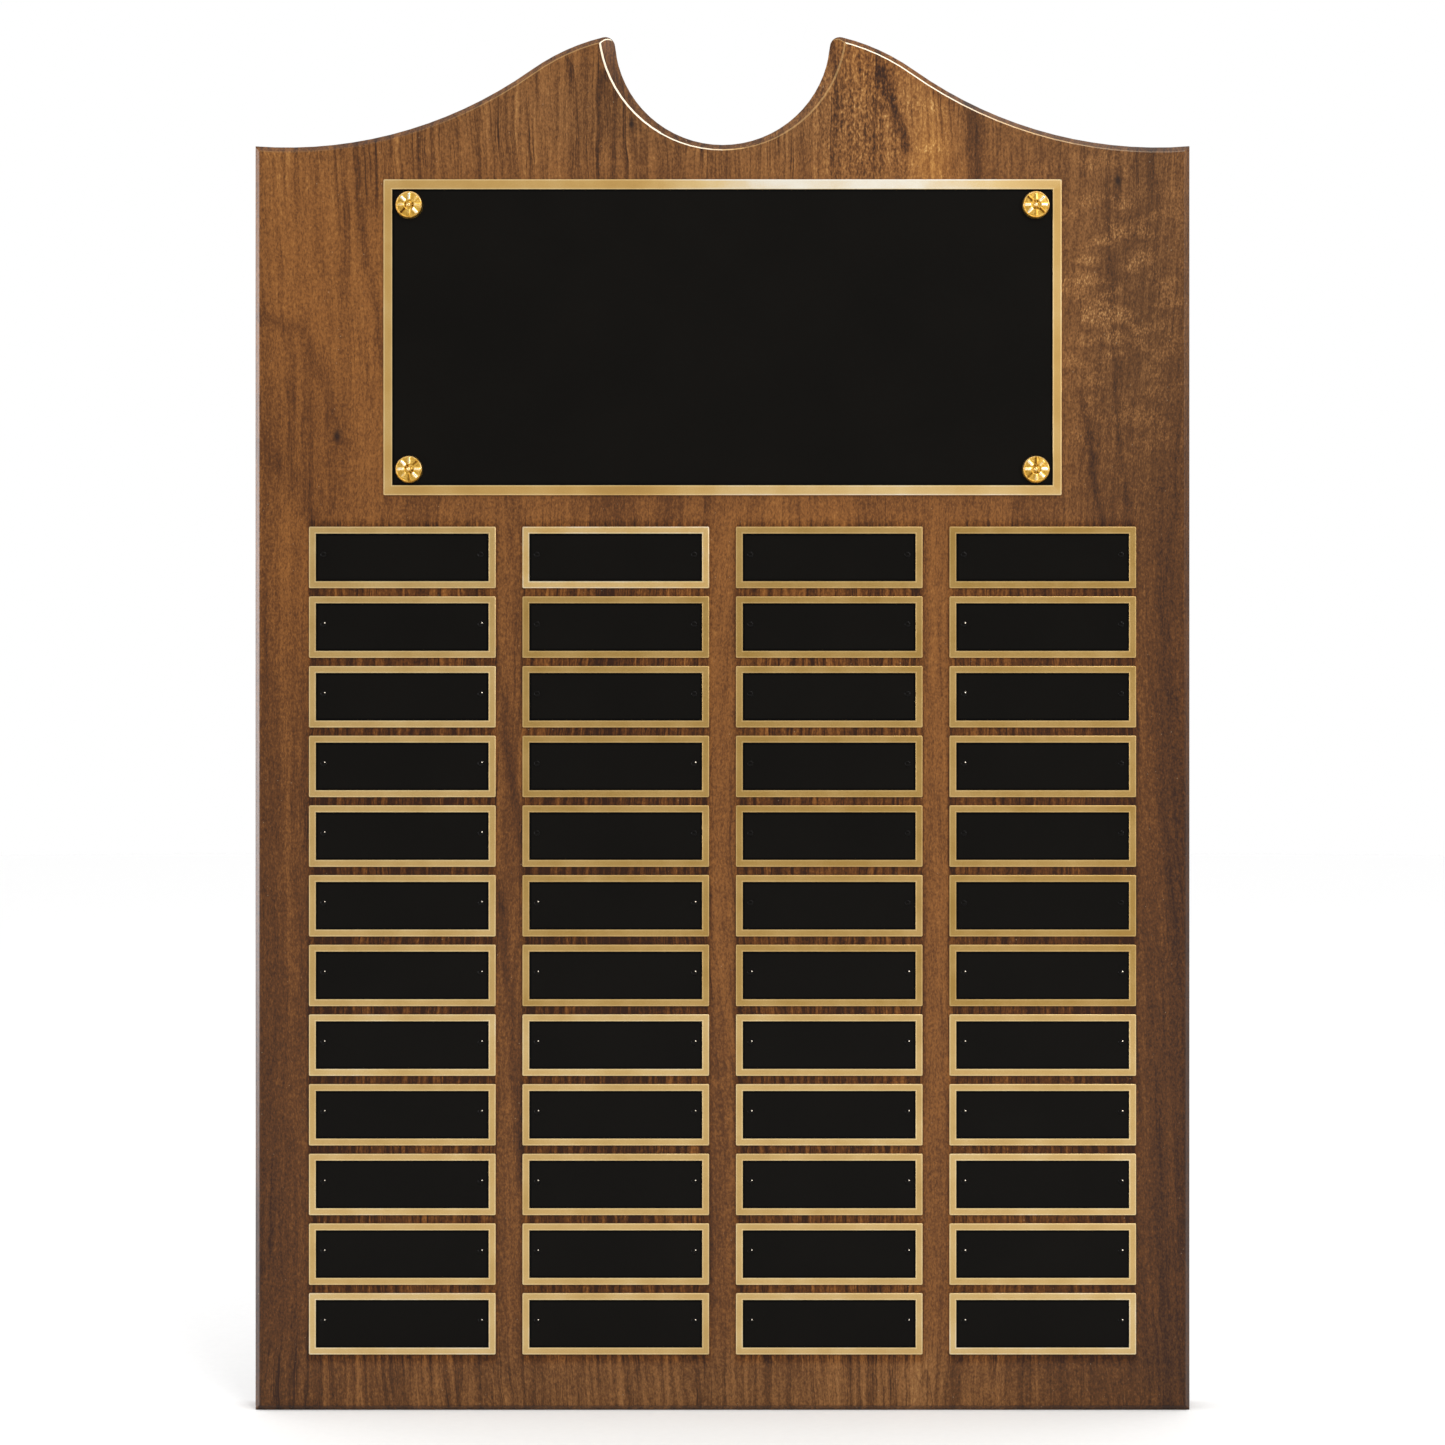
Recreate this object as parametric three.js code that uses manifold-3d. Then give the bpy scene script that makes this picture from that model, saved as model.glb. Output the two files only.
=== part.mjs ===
import * as THREE from "three";
import { mergeVertices } from "three/addons/utils/BufferGeometryUtils.js";
import Module from "manifold-3d";

// A perpetual award plaque. A shaped walnut board carries an engraving plate held by four
// rosette tacks, a grid of small name plates, and two keyhole hangers let into its back.
// Millimetres. The wall is the plane y = 0, the front faces -Y and +Z is up. The origin is
// the centre of the board's back face. Left and right are a viewer's, facing the front.

const board = {
  width: 381,
  thickness: 22,
  centreHeight: 280, // of the origin, above the bottom edge
  chamfer: 2.1,
};

// Heights are above the bottom edge.
const crest = {
  scoopX: 177.5, // the lowest point of the hollow shoulder
  scoopHeight: 514.9,
  scoopRadius: 172.2,
  scoopSweep: THREE.MathUtils.degToRad(35.3), // where the hollow turns into the crown
  crownRadius: 85.4,
  tipRadius: 4,
};

const notch = {
  radius: 44,
  height: 560, // of its centre
  flareRadius: 50.4, // at the front face
  flareHeight: 564.1,
  flareDepth: 2.4,
};

const header = { width: 276, height: 128.5, thickness: 1, centre: 437.1 };

const rosette = {
  inset: 10.5, // from the header's edges
  radius: 5.6,
  rise: 2.8,
  shankRadius: 0.9,
  shankLength: 13,
};

const namePlate = {
  width: 76,
  height: 25,
  thickness: 0.8,
  cornerCut: 0.5,
  pinInset: 6,
  pinHoleRadius: 0.75,
  columns: 4,
  rows: 12,
  columnPitch: 86.9,
  rowPitch: 28.36,
  topRow: 347.5, // the top row's centre
};

const hanger = {
  width: 22,
  height: 56,
  thickness: 2,
  cornerRadius: 4,
  x: 120, // either side of the middle
  centre: 458,
  entryRadius: 5.5,
  entryDrop: 8, // the entry hole's centre, below the hanger's centre
  slotRadius: 2.7,
  slotRise: 9, // the slot's upper end, above the hanger's centre
  screwOffset: 22.5,
  screwHoleRadius: 2,
  sinkRadius: 3.9,
  sinkDepth: 1.6,
  cavityRadius: 7, // room for the wall screw's head, behind the slot
  cavityDepth: 9,
};

const screw = {
  headRadius: 3.5,
  headTop: 0.05, // below the hanger's face
  headBottom: 1.5,
  shankRadius: 1.65,
  length: 14,
  point: 3,
  slotLength: 4.4,
  slotWidth: 0.9,
  slotDepth: 0.9,
};

const clearance = 0.3;
const arcSagitta = 0.05; // how far an arc's chords stray from it
const through = 1; // how far a cutter runs past the face it cuts
const sides = { flare: 72, hole: 10, pinHole: 6, sink: 16, rosette: 20, screw: 12 };

const walnut = new THREE.MeshStandardMaterial({ color: 0x6e472a, roughness: 0.38, metalness: 0 });
const blackEnamel = new THREE.MeshStandardMaterial({ color: 0x181613, roughness: 0.3, metalness: 0 });
const polishedBrass = new THREE.MeshStandardMaterial({ color: 0xd9a93c, roughness: 0.18, metalness: 1 });
const zincSteel = new THREE.MeshStandardMaterial({ color: 0x9c9a94, roughness: 0.4, metalness: 1 });

const wasm = await Module();
wasm.setup();

function solidOf(geometry) {
  const bare = geometry.clone();
  bare.deleteAttribute("normal");
  bare.deleteAttribute("uv");
  const merged = mergeVertices(bare);
  return new wasm.Manifold(
    new wasm.Mesh({
      numProp: 3,
      vertProperties: merged.attributes.position.array,
      triVerts: new Uint32Array(merged.index.array),
    }),
  );
}

function geometryOf(solid) {
  const { vertProperties, triVerts } = solid.getMesh();
  const geometry = new THREE.BufferGeometry();
  geometry.setAttribute("position", new THREE.BufferAttribute(vertProperties, 3));
  geometry.setIndex(new THREE.BufferAttribute(triVerts, 1));
  const faceted = geometry.toNonIndexed();
  faceted.computeVertexNormals();
  return faceted;
}

function pieceOf(name, geometry, material) {
  const mesh = new THREE.Mesh(geometry, material);
  mesh.name = name;
  return mesh;
}

// An arc as points, with as many chords as its radius needs; it runs clockwise when it ends lower
// than it starts. The first point is left out, because the outline is already there.
function arc(centre, radius, from, to) {
  const chord = 2 * Math.acos(1 - arcSagitta / radius);
  const steps = Math.ceil(Math.abs(to - from) / chord);
  const curve = new THREE.EllipseCurve(centre.x, centre.y, radius, radius, from, to, to < from);
  return curve.getPoints(steps).slice(1);
}

// Stands a drawing of x and height upright, its depth running from y = back towards the front.
function standUp(shape, depth, back, bevel = {}) {
  const geometry = new THREE.ExtrudeGeometry(shape, { depth, bevelEnabled: false, ...bevel });
  geometry.rotateX(Math.PI / 2);
  return geometry.translate(0, back, 0);
}

// A round bar or cone along Y, from y = back to y = front.
function barAt(x, height, radius, back, front, segments = sides.hole, frontRadius = radius) {
  const geometry = new THREE.CylinderGeometry(radius, frontRadius, back - front, segments);
  return geometry.translate(x, (back + front) / 2, height);
}

// Where two circles cross, on the right of the way from a to b.
function circlesMeet(a, radiusA, b, radiusB) {
  const across = b.clone().sub(a);
  const along = (radiusA ** 2 - radiusB ** 2 + across.lengthSq()) / (2 * across.length());
  const beside = Math.sqrt(radiusA ** 2 - along ** 2);
  across.normalize();
  return a
    .clone()
    .addScaledVector(across, along)
    .addScaledVector(new THREE.Vector2(across.y, -across.x), beside);
}

// The right half's arcs from the side up over the crown to the middle of the notch.
function crestArcs() {
  const scoop = new THREE.Vector2(crest.scoopX, crest.scoopHeight + crest.scoopRadius);
  const turn = -Math.PI / 2 - crest.scoopSweep;
  const start = -Math.acos((board.width / 2 - crest.scoopX) / crest.scoopRadius);
  const reach = crest.scoopRadius + crest.crownRadius;
  const crown = new THREE.Vector2(Math.cos(turn), Math.sin(turn)).multiplyScalar(reach).add(scoop);
  const middle = new THREE.Vector2(0, notch.height);
  const tip = circlesMeet(
    crown,
    crest.crownRadius - crest.tipRadius,
    middle,
    notch.radius + crest.tipRadius,
  );
  const crownEnd = tip.clone().sub(crown).angle();
  const tipEnd = middle.clone().sub(tip).angle();
  return [
    new THREE.Vector2(board.width / 2, scoop.y + crest.scoopRadius * Math.sin(start)),
    ...arc(scoop, crest.scoopRadius, start, turn),
    ...arc(crown, crest.crownRadius, turn + Math.PI, crownEnd),
    ...arc(tip, crest.tipRadius, crownEnd, tipEnd),
    ...arc(middle, notch.radius, tipEnd - Math.PI, -Math.PI / 2),
  ];
}

function boardOutline() {
  const right = crestArcs();
  const left = right
    .slice(0, -1)
    .reverse()
    .map((p) => new THREE.Vector2(-p.x, p.y));
  return new THREE.Shape([
    new THREE.Vector2(-board.width / 2, 0),
    new THREE.Vector2(board.width / 2, 0),
    ...right,
    ...left,
  ]);
}

// The board's blank: chamfered all round its front arris, square at the back.
function boardBlank() {
  const blank = standUp(boardOutline(), board.thickness - board.chamfer, 0, {
    bevelEnabled: true,
    bevelThickness: board.chamfer,
    bevelSize: board.chamfer,
    bevelOffset: -board.chamfer,
    bevelSegments: 1,
  });
  const behind = new THREE.BoxGeometry(2 * board.width, 2 * board.chamfer, 4 * board.width);
  return solidOf(blank).subtract(solidOf(behind.translate(0, board.chamfer, 0)));
}

// The flare that opens the notch towards the front: a cone whose axis climbs as it comes forward.
function notchFlare() {
  const widen = (notch.flareRadius - notch.radius) / notch.flareDepth;
  const climb = (notch.flareHeight - notch.height) / notch.flareDepth;
  const depth = notch.flareDepth + 2 * through;
  const back = notch.radius - through * widen;
  const front = notch.flareRadius + through * widen;
  const cone = barAt(0, 0, back, depth / 2, -depth / 2, sides.flare, front);
  cone.applyMatrix4(new THREE.Matrix4().makeShear(0, 0, 0, -climb, 0, 0));
  const middle = (notch.height + notch.flareHeight) / 2;
  return cone.translate(0, notch.flareDepth / 2 - board.thickness, middle);
}

function rosettePlaces() {
  const x = header.width / 2 - rosette.inset;
  const rise = header.height / 2 - rosette.inset;
  return [
    ["top_left", -x, header.centre + rise],
    ["top_right", x, header.centre + rise],
    ["bottom_left", -x, header.centre - rise],
    ["bottom_right", x, header.centre - rise],
  ];
}

function roundedPlate(width, height, radius) {
  const x = width / 2 - radius;
  const y = height / 2 - radius;
  const quarter = Math.PI / 2;
  const corners = [
    [x, -y, -quarter],
    [x, y, 0],
    [-x, y, quarter],
    [-x, -y, 2 * quarter],
  ];
  return new THREE.Shape(
    corners.flatMap(([cx, cy, from]) => [
      new THREE.Vector2(cx + radius * Math.cos(from), cy + radius * Math.sin(from)),
      ...arc({ x: cx, y: cy }, radius, from, from + quarter),
    ]),
  );
}

// A slot with round ends, upright, from one height to another.
function stadium(radius, low, high) {
  return new THREE.Shape([
    ...arc({ x: 0, y: high }, radius, 0, Math.PI),
    ...arc({ x: 0, y: low }, radius, Math.PI, 2 * Math.PI),
    new THREE.Vector2(radius, high),
  ]);
}

// What one hanger needs let into the back: its own recess, room behind its slot, pilot holes.
function hangerPocket() {
  const recess = roundedPlate(
    hanger.width + 2 * clearance,
    hanger.height + 2 * clearance,
    hanger.cornerRadius + clearance,
  );
  const cavity = stadium(hanger.cavityRadius, -hanger.entryDrop, hanger.slotRise);
  const cavityEnd = hanger.thickness + hanger.cavityDepth;
  let pocket = solidOf(standUp(recess, hanger.thickness + through, through)).add(
    solidOf(standUp(cavity, cavityEnd + through, through)),
  );
  for (const height of [-hanger.screwOffset, hanger.screwOffset]) {
    const radius = screw.shankRadius + clearance;
    pocket = pocket.add(solidOf(barAt(0, height, radius, through, -screw.length - clearance)));
  }
  return pocket;
}

function walnutBoard() {
  let solid = boardBlank().subtract(solidOf(notchFlare()));
  for (const [, x, height] of rosettePlaces()) {
    const end = header.thickness + board.thickness - rosette.shankLength - clearance;
    const hole = barAt(x, height, rosette.shankRadius + clearance, -end, -board.thickness - through);
    solid = solid.subtract(solidOf(hole));
  }
  const pocket = hangerPocket();
  for (const x of [-hanger.x, hanger.x])
    solid = solid.subtract(pocket.translate([x, 0, hanger.centre]));
  return pieceOf("walnut_board", geometryOf(solid), walnut);
}

function roundHole(x, y, radius, count) {
  const turns = Array.from({ length: count }, (_, i) => (-2 * Math.PI * i) / count);
  return new THREE.Path(
    turns.map((turn) => new THREE.Vector2(x + radius * Math.cos(turn), y + radius * Math.sin(turn))),
  );
}

function headerPlate() {
  const shape = roundedPlate(header.width, header.height, namePlate.cornerCut);
  for (const [, x, height] of rosettePlaces())
    shape.holes.push(
      roundHole(x, height - header.centre, rosette.shankRadius + clearance, sides.hole),
    );
  const mesh = pieceOf("header_plate", standUp(shape, header.thickness, 0), blackEnamel);
  mesh.position.set(0, -board.thickness, header.centre);
  return mesh;
}

// A profile of radius and y, from the front end of the axis to its back end, turned about Y.
function turned(profile, segments) {
  return new THREE.LatheGeometry(
    profile.map(([radius, y]) => new THREE.Vector2(radius, y)),
    segments,
  );
}

function rosetteTack() {
  const { radius, rise, shankRadius, shankLength } = rosette;
  return turned(
    [
      [0, -rise],
      [0.18 * radius, -0.96 * rise],
      [0.26 * radius, -0.8 * rise],
      [0.55 * radius, -0.76 * rise],
      [0.82 * radius, -0.5 * rise],
      [0.93 * radius, -0.48 * rise],
      [radius, -0.25 * rise],
      [radius, 0],
      [shankRadius, 0],
      [shankRadius, shankLength - 2 * shankRadius],
      [0, shankLength],
    ],
    sides.rosette,
  );
}

function rosetteTacks() {
  const geometry = rosetteTack();
  return rosettePlaces().map(([corner, x, height]) => {
    const mesh = pieceOf("rosette_tack_" + corner, geometry, polishedBrass);
    mesh.position.set(x, -board.thickness - header.thickness, height);
    return mesh;
  });
}

function namePlates() {
  const { width, height, thickness, cornerCut, columns, rows } = namePlate;
  const x = width / 2;
  const y = height / 2;
  const shape = new THREE.Shape(
    [
      [x, cornerCut - y],
      [x, y - cornerCut],
      [x - cornerCut, y],
      [cornerCut - x, y],
      [-x, y - cornerCut],
      [-x, cornerCut - y],
      [cornerCut - x, -y],
      [x - cornerCut, -y],
    ].map(([px, py]) => new THREE.Vector2(px, py)),
  );
  for (const side of [-1, 1])
    shape.holes.push(
      roundHole(side * (x - namePlate.pinInset), 0, namePlate.pinHoleRadius, sides.pinHole),
    );
  const geometry = standUp(shape, thickness, 0);
  const plates = [];
  for (let row = 0; row < rows; row++)
    for (let column = 0; column < columns; column++) {
      const name = `name_plate_r${String(row + 1).padStart(2, "0")}_c${column + 1}`;
      const mesh = pieceOf(name, geometry, blackEnamel);
      const across = (column - (columns - 1) / 2) * namePlate.columnPitch;
      mesh.position.set(across, -board.thickness, namePlate.topRow - row * namePlate.rowPitch);
      plates.push(mesh);
    }
  return plates;
}

// The entry hole with its narrower slot above, as one opening.
function keyhole() {
  const { entryRadius, entryDrop, slotRadius, slotRise } = hanger;
  const shoulder = Math.acos(slotRadius / entryRadius);
  return new THREE.Path(
    [
      new THREE.Vector2(slotRadius, slotRise),
      ...arc({ x: 0, y: slotRise }, slotRadius, 0, Math.PI),
      new THREE.Vector2(-slotRadius, entryRadius * Math.sin(shoulder) - entryDrop),
      ...arc({ x: 0, y: -entryDrop }, entryRadius, Math.PI - shoulder, 2 * Math.PI + shoulder),
    ].reverse(),
  );
}

function keyholeHangers() {
  const shape = roundedPlate(hanger.width, hanger.height, hanger.cornerRadius);
  shape.holes.push(keyhole());
  let solid = solidOf(standUp(shape, hanger.thickness, 0));
  for (const height of [-hanger.screwOffset, hanger.screwOffset]) {
    const hole = barAt(0, height, hanger.screwHoleRadius, through, -hanger.thickness - through);
    const slope = (hanger.sinkRadius - hanger.screwHoleRadius) / hanger.sinkDepth;
    const mouth = hanger.sinkRadius + through * slope;
    const sinkEnd = [through, -hanger.sinkDepth, sides.sink, hanger.screwHoleRadius];
    const sink = barAt(0, height, mouth, ...sinkEnd);
    solid = solid.subtract(solidOf(hole)).subtract(solidOf(sink));
  }
  const geometry = geometryOf(solid);
  return [
    ["hanger_left", -hanger.x],
    ["hanger_right", hanger.x],
  ].map(([name, x]) => {
    const mesh = pieceOf(name, geometry, zincSteel);
    mesh.position.set(x, 0, hanger.centre);
    return mesh;
  });
}

function hangerScrew() {
  const { headRadius, headTop, headBottom, shankRadius, length, point } = screw;
  let solid = solidOf(
    turned(
      [
        [0, -length],
        [shankRadius, point - length],
        [shankRadius, -headBottom],
        [headRadius, -headTop],
        [0, -headTop],
      ],
      sides.screw,
    ),
  );
  for (const turn of [0, Math.PI / 2]) {
    const slot = new THREE.BoxGeometry(screw.slotLength, 2 * screw.slotDepth, screw.slotWidth);
    solid = solid.subtract(solidOf(slot.rotateY(turn).translate(0, -headTop, 0)));
  }
  return geometryOf(solid);
}

function hangerScrews() {
  const geometry = hangerScrew();
  const screws = [];
  for (const [side, x] of [["left", -hanger.x], ["right", hanger.x]])
    for (const [end, offset] of [["top", hanger.screwOffset], ["bottom", -hanger.screwOffset]]) {
      const mesh = pieceOf(`hanger_screw_${side}_${end}`, geometry, zincSteel);
      mesh.position.set(x, 0, hanger.centre + offset);
      screws.push(mesh);
    }
  return screws;
}

const group = new THREE.Group();
group.add(walnutBoard(), headerPlate(), ...rosetteTacks(), ...namePlates());
group.add(...keyholeHangers(), ...hangerScrews());
group.position.z = -board.centreHeight;

export default group;
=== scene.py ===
import math
import random

import bmesh
import bpy
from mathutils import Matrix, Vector


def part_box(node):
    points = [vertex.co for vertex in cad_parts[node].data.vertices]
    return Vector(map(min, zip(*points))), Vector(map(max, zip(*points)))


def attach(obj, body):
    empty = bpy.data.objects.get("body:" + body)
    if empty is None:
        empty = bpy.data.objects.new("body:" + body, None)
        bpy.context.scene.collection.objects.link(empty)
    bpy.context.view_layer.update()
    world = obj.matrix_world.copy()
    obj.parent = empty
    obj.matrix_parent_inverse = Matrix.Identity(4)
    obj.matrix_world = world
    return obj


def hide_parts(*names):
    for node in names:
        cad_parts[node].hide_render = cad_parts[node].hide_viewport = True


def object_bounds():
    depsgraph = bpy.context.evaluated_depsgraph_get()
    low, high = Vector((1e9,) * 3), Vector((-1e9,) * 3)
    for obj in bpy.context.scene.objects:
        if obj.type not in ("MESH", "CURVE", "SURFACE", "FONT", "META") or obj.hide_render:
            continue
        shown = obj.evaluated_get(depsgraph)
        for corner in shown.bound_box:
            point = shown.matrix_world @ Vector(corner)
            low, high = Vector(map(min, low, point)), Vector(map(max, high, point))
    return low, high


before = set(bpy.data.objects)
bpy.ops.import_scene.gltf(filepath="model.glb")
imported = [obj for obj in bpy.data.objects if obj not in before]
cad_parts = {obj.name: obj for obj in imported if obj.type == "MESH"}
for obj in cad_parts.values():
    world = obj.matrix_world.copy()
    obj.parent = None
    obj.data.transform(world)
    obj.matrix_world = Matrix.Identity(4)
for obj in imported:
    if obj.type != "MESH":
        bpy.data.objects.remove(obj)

cadLow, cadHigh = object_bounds()
mm = 0.001
touching = mm / 1000  # points nearer than this are one point
slack = mm / 100


class Wire:
    # a shader socket that can be calculated with, and the one way to add any other node
    def __init__(self, tree, socket=None):
        self.tree = tree
        self.socket = socket

    def node(self, kind, settings=None, inputs=None, output=0):
        made = self.tree.nodes.new(kind)
        for key, value in (settings or {}).items():
            if key == "stops":
                self.setStops(made.color_ramp, value)
            else:
                setattr(made, key, value)
        for key, value in (inputs or {}).items():
            if isinstance(value, Wire):
                self.tree.links.new(value.socket, made.inputs[key])
            else:
                made.inputs[key].default_value = value
        return Wire(self.tree, made.outputs[output]) if made.outputs else None

    def setStops(self, ramp, stops):
        while len(ramp.elements) < len(stops):
            ramp.elements.new(1.0)
        for element, (place, colour) in zip(ramp.elements, stops):
            element.position = place
            element.color = colour

    def math(self, operation, *values):
        return self.node("ShaderNodeMath", {"operation": operation}, dict(enumerate(values)))

    def __add__(self, other):
        return self.math("ADD", self, other)

    def __radd__(self, other):
        return self.math("ADD", other, self)

    def __sub__(self, other):
        return self.math("SUBTRACT", self, other)

    def __rsub__(self, other):
        return self.math("SUBTRACT", other, self)

    def __mul__(self, other):
        return self.math("MULTIPLY", self, other)

    def __rmul__(self, other):
        return self.math("MULTIPLY", other, self)

    def __truediv__(self, other):
        return self.math("DIVIDE", self, other)

    def step(self, low, high):
        # 0 below low, 1 above high, smooth between
        settings = {"interpolation_type": "SMOOTHSTEP"}
        return self.node("ShaderNodeMapRange", settings, {0: self, 1: low, 2: high})

    def vector(self, operation, *values, scale=None, output=0):
        inputs = dict(enumerate(values))
        if scale is not None:
            inputs["Scale"] = scale
        return self.node("ShaderNodeVectorMath", {"operation": operation}, inputs, output)

    def noise(self, place, stretch, detail=2.0, rough=0.5, shift=0.0):
        # noise whose features are stretch mm long along each axis
        small = tuple(1 / s for s in stretch)
        moved = self.vector("MULTIPLY_ADD", place, small, (shift, shift * 1.7, shift * 0.6))
        inputs = {"Vector": moved, "Scale": 1.0, "Detail": detail, "Roughness": rough}
        return self.node("ShaderNodeTexNoise", None, inputs)

    def blend(self, share, low, high, kind="MIX"):
        settings = {"data_type": "RGBA", "blend_type": kind}
        return self.node("ShaderNodeMix", settings, {0: share, 6: low, 7: high}, output=2)


def newMaterial(name):
    material = bpy.data.materials.new(name)
    material.use_nodes = True
    material.node_tree.nodes.clear()
    wire = Wire(material.node_tree)
    # object coordinates in mm
    place = wire.vector("SCALE", wire.node("ShaderNodeTexCoord", output=3), scale=1 / mm)
    return material, wire, place


def shade(wire, inputs):
    skin = wire.node("ShaderNodeBsdfPrincipled", None, inputs)
    wire.node("ShaderNodeOutputMaterial", None, {"Surface": skin})


def bump(wire, height, distance, strength=1.0):
    inputs = {"Strength": strength, "Distance": distance * mm, "Height": height}
    return wire.node("ShaderNodeBump", None, inputs)


def colour(red, green, blue):
    # a screen colour from 0 to 255 as the shader's linear one
    return tuple((c / 255) ** 2.2 for c in (red, green, blue)) + (1.0,)


# heights here are above the board's foot, in mm
walnut = {
    "stops": [
        (0.0, colour(46, 25, 9)),
        (0.25, colour(82, 49, 20)),
        (0.5, colour(121, 77, 36)),
        (0.75, colour(156, 108, 55)),
        (1.0, colour(196, 153, 90)),
    ],
    "ringSpacing": 5.2,
    "ringDrift": 7.0,
    "greyer": (0.98, 1.19, 1.95, 1.0),  # multiplies the colour where the wood is cooler
    "coolness": 0.15,
    "pore": colour(44, 27, 16),
    "knot": colour(30, 18, 11),
    "dust": colour(190, 168, 138),
    "base": 0.315,  # tone at the foot, from 0 dark to 1 pale
    "rise": 0.07,  # how much paler it is at the top: partly the wood's own tone, partly painted light from above
    "height": 560,
    "contrast": {"bands": 0.42, "streaks": 0.3, "grain": 0.46, "coarse": 0.3, "mottle": 0.16},
    "figure": {  # length of the features across, inwards and up, then detail, roughness, shift
        "bands": ((17, 24, 420), 2.0, 0.6, 0.0),
        "streaks": ((2.2, 3.0, 80), 3.0, 0.65, 5.0),
        "drift": ((22, 30, 300), 1.0, 0.5, 17.0),
        "lines": ((0.8, 1.1, 34), 1.0, 0.5, 9.0),
        "veins": ((9, 12, 170), 1.0, 0.5, 23.0),
        "grain": ((0.55, 0.55, 1.0), 1.0, 0.6, 2.0),
        "coarse": ((0.9, 0.9, 1.9), 1.0, 0.6, 29.0),
        "mottle": ((4, 4, 9), 2.0, 0.6, 31.0),
        "pores": ((0.34, 0.34, 2.6), 1.0, 0.5, 7.0),
        "flock": ((7, 9, 60), 2.0, 0.6, 11.0),
        "curl": ((15, 18, 7.0), 1.0, 0.5, 13.0),
    },
    "sway": {"wide": 40, "fine": 3.4, "strokes": 5.0},
    "frontDepth": (-20, -17),  # the painted shade between the rows fades out behind the front, between these
    "lined": {"crest": (470, 520), "foot": (12, 40), "footShare": 0.8, "calmRight": (70, 110)},
    "masks": {  # x, height, half width, half length
        "curl": (158, 452, 28, 60),
        "crestCurl": (84, 522, 12, 26),
        "crestFlecks": (58, 526, 19, 40),
        "quiet": (168, 420, 40, 120),
    },
    "patches": [  # x, height, half width, half length, lighter by, cooler by
        (-165, 440, 46, 90, 0.09, -0.12),
        (-172, 330, 30, 60, 0.05, -0.15),
        (45, 260, 75, 190, 0.09, -0.10),
        (-190, 170, 34, 230, -0.16, 0.05),
        (190, 160, 34, 250, -0.24, 0.08),
        (-45, 230, 12, 170, -0.11, 0.0),
        (86, 514, 10, 32, 0.25, -0.40),
        (62, 545, 20, 30, 0.05, -0.30),
        (168, 450, 40, 100, -0.06, 0.75),
        (140, 20, 44, 26, -0.10, 0.05),
        (-172, 400, 20, 32, -0.08, 0.0),
        # painted reflection: the crest made greyer, standing for the lacquer's sheen
        (0, 530, 150, 30, 0.0, 0.60),
        (0, 8, 210, 22, 0.04, 0.60),
        (80, 10, 8, 22, 0.11, 0.10),
        (20, 373, 150, 7, -0.05, 0.05),
    ],
    # the strips between the plates: more lined grain, and painted shade
    "rows": {
        "columnPitch": 86.9, "halfWidth": 40.0, "fade": 3.5, "low": 18.0, "high": 364.0, "endFade": 4.0,
        "darker": 0.07, "middleDarker": 0.14, "middle": (200, 120), "rougher": 1.0,
    },
    "endGrain": 0.13,
    "bareGold": colour(214, 172, 108),  # painted highlight along the arrises, golden where faint
    "bareWhite": colour(242, 230, 206),  # painted highlight along the arrises, white where strongest
    "strokes": [  # a dark vein's points (x, height), half width, depth
        ([(-190, 446), (-172, 440), (-161, 417), (-156, 394)], 3.0, 0.09),
        ([(-188, 392), (-174, 378), (-160, 352)], 5.0, 0.08),
        ([(-150, 522), (-147, 485), (-140, 440), (-139, 425)], 1.8, 0.13),
        ([(65, 546), (69, 534), (72, 526), (75, 514)], 2.2, 0.34),
        ([(101, 533), (104, 505), (105, 496)], 3.4, 0.20),
        ([(156, 500), (159, 440), (162, 390), (168, 340)], 1.2, 0.12),
        ([(146, 415), (152, 375), (160, 345)], 1.6, 0.14),
        ([(-93, 310), (-84, 250), (-80, 215)], 2.2, 0.16),
        ([(-92, 215), (-86, 165), (-82, 95)], 1.8, 0.14),
        ([(-49, 545), (-50, 520), (-51, 498)], 1.4, 0.16),
        ([(-99, 535), (-100, 515), (-99, 498)], 1.6, 0.14),
    ],
    "knots": [(161, 501, 1.4), (-157, 397, 1.5), (-37, 524, 1.2)],  # x, height, half width
    "knotHalo": (5, 11),  # how much wider and longer the parted grain is than its knot
    "knotPush": 0.35,
}


def spot(wire, across, up, x, height, halfWidth, halfLength):
    # a soft oval patch, 1 in its middle
    dx, dz = (across - x) / halfWidth, (up - height) / halfLength
    return wire.math("EXPONENT", (dx * dx + dz * dz) * -1.0)


def stroke(wire, flat, points, halfWidth):
    # a soft line through the points, 1 along its middle
    nearest = None
    for start, end in zip(points, points[1:]):
        start, end = Vector((*start, 0)), Vector((*end, 0))
        way = end - start
        fromStart = wire.vector("SUBTRACT", flat, tuple(start))
        share = wire.vector("DOT_PRODUCT", fromStart, tuple(way / way.length_squared), output=1)
        share = wire.math("MINIMUM", wire.math("MAXIMUM", share, 0.0), 1.0)
        onLine = wire.vector("SCALE", tuple(way), scale=share)
        away = wire.vector("DISTANCE", fromStart, onLine, output=1) / halfWidth
        nearest = away if nearest is None else wire.math("MINIMUM", nearest, away)
    return wire.math("EXPONENT", nearest * nearest * -1.0)


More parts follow.
